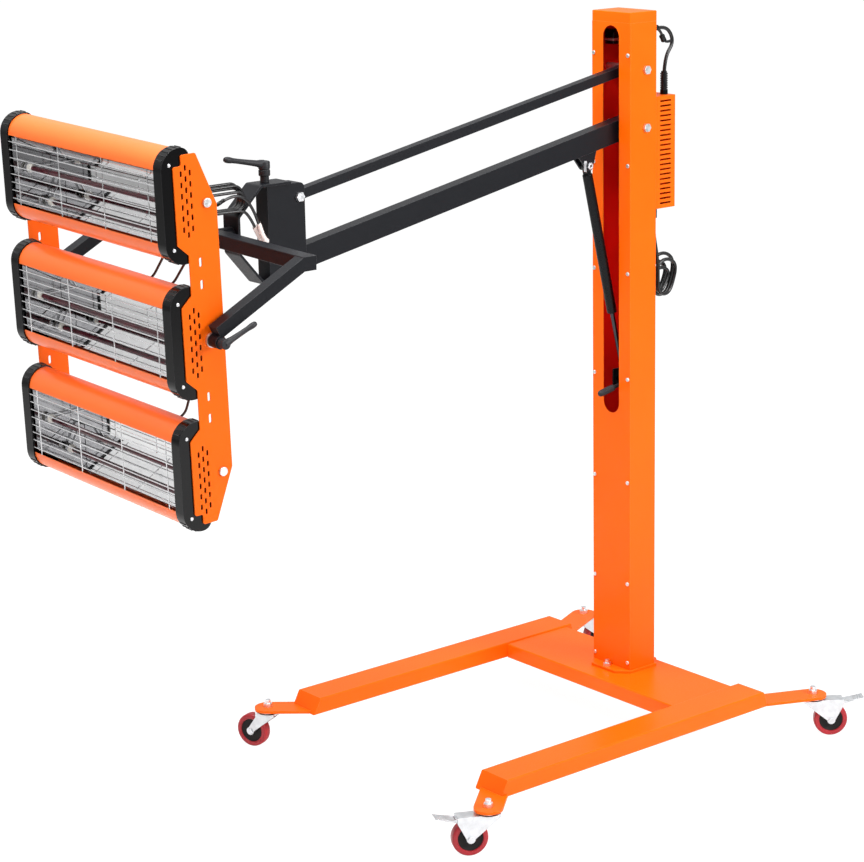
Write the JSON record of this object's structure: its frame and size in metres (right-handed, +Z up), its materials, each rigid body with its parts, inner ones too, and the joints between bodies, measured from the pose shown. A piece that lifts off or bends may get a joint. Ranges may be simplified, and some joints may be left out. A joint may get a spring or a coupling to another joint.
{
  "type": "infrared paint curing lamp",
  "caption": "Mobile infrared paint curing lamp: stacked lamp cassettes in a tilting yoke on a gas-sprung parallel arm, tall column and U-shaped caster base.",
  "frame": {"origin": "on the floor under the middle of the column", "axes": "-Y the way the lamps face and the arm reaches, +X the side nearest the camera, +Z up the column"},
  "size_m": [0.9094, 1.6992, 1.6035],
  "materials": {
    "orange_paint": "satin orange powder coat",
    "black_paint": "satin black powder coat",
    "black_plastic": "moulded black plastic",
    "switch_red": "glossy red plastic",
    "zinc_steel": "bright zinc plating",
    "fork_zinc": "zinc-plated pressed steel",
    "pedal_zinc": "zinc-plated pedal",
    "wheel_rubber": "red tread on a dark core",
    "cylinder_black": "gloss black tube",
    "rod_steel": "dark polished rod",
    "lever_black": "black lever with a grip",
    "mirror_sheet": "polished reflector sheet",
    "guard_wire": "bright wire",
    "ruby_quartz": "ruby quartz tube",
    "ceramic": "white ceramic",
    "pale_sleeve": "pale woven sleeve",
    "cord_rubber": "black cable sheath"
  },
  "bodies": {
    "base": {"left_leg": "orange_paint", "right_leg": "orange_paint", "cross_plate": "orange_paint", "caster_plates": "orange_paint", "caster_stems": "zinc_steel", "column_shell": "orange_paint", "front_cover": "orange_paint", "column_cap": "orange_paint", "column_foot": "orange_paint", "foot_bolts": "zinc_steel", "cover_screws": "zinc_steel", "column_pivot_bolts": "zinc_steel", "spring_foot_bracket": "black_paint", "control_box": "orange_paint", "cord_glands": "black_plastic", "rear_loop_cord": "cord_rubber", "power_cord_hank": "cord_rubber", "power_plug": "cord_rubber"},
    "swivel_front_left": {"caster_fork_front_left": "fork_zinc"},
    "wheel_front_left": {"caster_wheel_front_left": "wheel_rubber"},
    "swivel_front_right": {"caster_fork_front_right": "fork_zinc"},
    "wheel_front_right": {"caster_wheel_front_right": "wheel_rubber"},
    "brake_front_right": {"brake_pedal_front_right": "pedal_zinc"},
    "swivel_rear_left": {"caster_fork_rear_left": "fork_zinc"},
    "wheel_rear_left": {"caster_wheel_rear_left": "wheel_rubber"},
    "swivel_rear_right": {"caster_fork_rear_right": "fork_zinc"},
    "wheel_rear_right": {"caster_wheel_rear_right": "wheel_rubber"},
    "brake_rear_right": {"brake_pedal_rear_right": "pedal_zinc"},
    "lower_arm": {"lower_arm": "black_paint", "spring_pin": "zinc_steel"},
    "upper_link": {"upper_link": "black_paint"},
    "gas_cylinder": {"gas_cylinder": "cylinder_black"},
    "gas_rod": {"gas_rod": "rod_steel"},
    "release_lever": {"release_lever": "lever_black"},
    "arm_bracket": {"arm_bracket": "black_paint", "bracket_bolts": "zinc_steel", "box_leads": "pale_sleeve"},
    "pan_lever": {"pan_lever": "black_plastic"},
    "clevis": {"yoke_strap": "black_paint", "roll_bolt": "zinc_steel", "head_cord_coil": "cord_rubber"},
    "yoke": {"yoke_frame": "black_paint"},
    "tilt_lever": {"tilt_lever": "black_plastic"},
    "head": {"left_plate": "orange_paint", "right_plate": "orange_paint", "plate_bolts": "zinc_steel", "tilt_bolts": "zinc_steel", "lamp_shell_top": "orange_paint", "lamp_shell_middle": "orange_paint", "lamp_shell_bottom": "orange_paint", "lamp_end_caps": "black_plastic", "lamp_reflectors": "mirror_sheet", "lamp_guards": "guard_wire", "heater_tubes": "ruby_quartz", "tube_holders": "ceramic", "lamp_leads": "cord_rubber"},
    "switch_1": {"lamp_switch_1": "switch_red"},
    "switch_2": {"lamp_switch_2": "switch_red"},
    "switch_3": {"lamp_switch_3": "switch_red"},
    "timer": {"timer_knob": "black_plastic"}
  },
  "joints": [
    {"name": "swivel_front_left", "type": "hinge", "parent": "base", "child": "swivel_front_left", "pos_m": [-0.377, -0.733, 0.085], "axis": [0, 0, 1], "continuous": true},
    {"name": "roll_front_left", "type": "hinge", "parent": "swivel_front_left", "child": "wheel_front_left", "pos_m": [-0.41409, -0.74798, 0.0375], "axis": [0.3746, -0.9272, 0], "continuous": true},
    {"name": "swivel_front_right", "type": "hinge", "parent": "base", "child": "swivel_front_right", "pos_m": [0.377, -0.733, 0.085], "axis": [0, 0, 1], "continuous": true},
    {"name": "roll_front_right", "type": "hinge", "parent": "swivel_front_right", "child": "wheel_front_right", "pos_m": [0.35946, -0.76895, 0.0375], "axis": [0.8988, -0.4384, 0], "continuous": true},
    {"name": "brake_front_right", "type": "hinge", "parent": "swivel_front_right", "child": "brake_front_right", "pos_m": [0.34982, -0.78873, 0.0775], "axis": [0.8988, -0.4384, 0], "range_deg": [0, 12]},
    {"name": "swivel_rear_left", "type": "hinge", "parent": "base", "child": "swivel_rear_left", "pos_m": [-0.377, 0.222, 0.085], "axis": [0, 0, 1], "continuous": true},
    {"name": "roll_rear_left", "type": "hinge", "parent": "swivel_rear_left", "child": "wheel_rear_left", "pos_m": [-0.36665, 0.26064, 0.0375], "axis": [-0.9659, 0.2588, 0], "continuous": true},
    {"name": "swivel_rear_right", "type": "hinge", "parent": "base", "child": "swivel_rear_right", "pos_m": [0.377, 0.222, 0.085], "axis": [0, 0, 1], "continuous": true},
    {"name": "roll_rear_right", "type": "hinge", "parent": "swivel_rear_right", "child": "wheel_rear_right", "pos_m": [0.40107, 0.25394, 0.0375], "axis": [-0.7986, 0.6018, 0], "continuous": true},
    {"name": "brake_rear_right", "type": "hinge", "parent": "swivel_rear_right", "child": "brake_rear_right", "pos_m": [0.41431, 0.27152, 0.0775], "axis": [-0.7986, 0.6018, 0], "range_deg": [0, 12]},
    {"name": "arm_lift", "type": "hinge", "parent": "base", "child": "lower_arm", "pos_m": [0, 0.008, 1.3556], "axis": [-1, 0, 0], "range_deg": [-10, 45]},
    {"name": "upper_link_turn", "type": "hinge", "parent": "base", "child": "upper_link", "pos_m": [0, 0.008, 1.4796], "axis": [-1, 0, 0], "range_deg": [-10, 45]},
    {"name": "bracket_level", "type": "hinge", "parent": "lower_arm", "child": "arm_bracket", "pos_m": [0, -0.89049, 1.18258], "axis": [-1, 0, 0], "range_deg": [-45, 10]},
    {"name": "spring_turn", "type": "hinge", "parent": "lower_arm", "child": "gas_cylinder", "pos_m": [0, -0.11413, 1.28116], "axis": [-1, 0, 0], "range_deg": [-45, 10]},
    {"name": "spring_stroke", "type": "slide", "parent": "gas_cylinder", "child": "gas_rod", "axis": [0, 0.2263, -0.9741], "range_m": [-0.0242, 0.1079]},
    {"name": "spring_release", "type": "hinge", "parent": "gas_rod", "child": "release_lever", "pos_m": [0, 0, 0.79], "axis": [-1, 0, 0], "range_deg": [0, 15]},
    {"name": "pan", "type": "hinge", "parent": "arm_bracket", "child": "clevis", "pos_m": [0, -0.95799, 1.24], "axis": [0, 0, 1], "range_deg": [-90, 90], "deforming": ["box_leads"]},
    {"name": "pan_clamp", "type": "hinge", "parent": "arm_bracket", "child": "pan_lever", "pos_m": [0, -0.95799, 1.36], "axis": [0, 0, 1], "range_deg": [-60, 60]},
    {"name": "head_roll", "type": "hinge", "parent": "clevis", "child": "yoke", "pos_m": [0, -1.08399, 1.24898], "axis": [0, 1, 0], "range_deg": [-40, 40]},
    {"name": "head_tilt", "type": "hinge", "parent": "yoke", "child": "head", "pos_m": [-0.00359, -1.28299, 1.13153], "axis": [0.9995, 0, -0.0305], "range_deg": [-30, 60]},
    {"name": "tilt_clamp", "type": "hinge", "parent": "yoke", "child": "tilt_lever", "pos_m": [-0.00359, -1.28299, 1.13153], "axis": [0.9995, 0, -0.0305], "range_deg": [-45, 45]},
    {"name": "rocker_1", "type": "hinge", "parent": "base", "child": "switch_1", "pos_m": [0, 0.09975, 1.388], "axis": [-1, 0, 0], "range_deg": [0, 14]},
    {"name": "rocker_2", "type": "hinge", "parent": "base", "child": "switch_2", "pos_m": [0, 0.09975, 1.356], "axis": [-1, 0, 0], "range_deg": [0, 14]},
    {"name": "rocker_3", "type": "hinge", "parent": "base", "child": "switch_3", "pos_m": [0, 0.09975, 1.324], "axis": [-1, 0, 0], "range_deg": [0, 14]},
    {"name": "timer_turn", "type": "hinge", "parent": "base", "child": "timer", "pos_m": [0, 0.1005, 1.27], "axis": [0, -1, 0], "range_deg": [0, 300]}
  ],
  "couplings": [
    {"joint": "upper_link_turn", "follows": "arm_lift", "ratio": 1},
    {"joint": "bracket_level", "follows": "arm_lift", "ratio": -1},
    {"joint": "spring_turn", "follows": "arm_lift", "ratio": -1},
    {"joint": "spring_stroke", "follows": "arm_lift", "m_per_rad": 0.137}
  ]
}
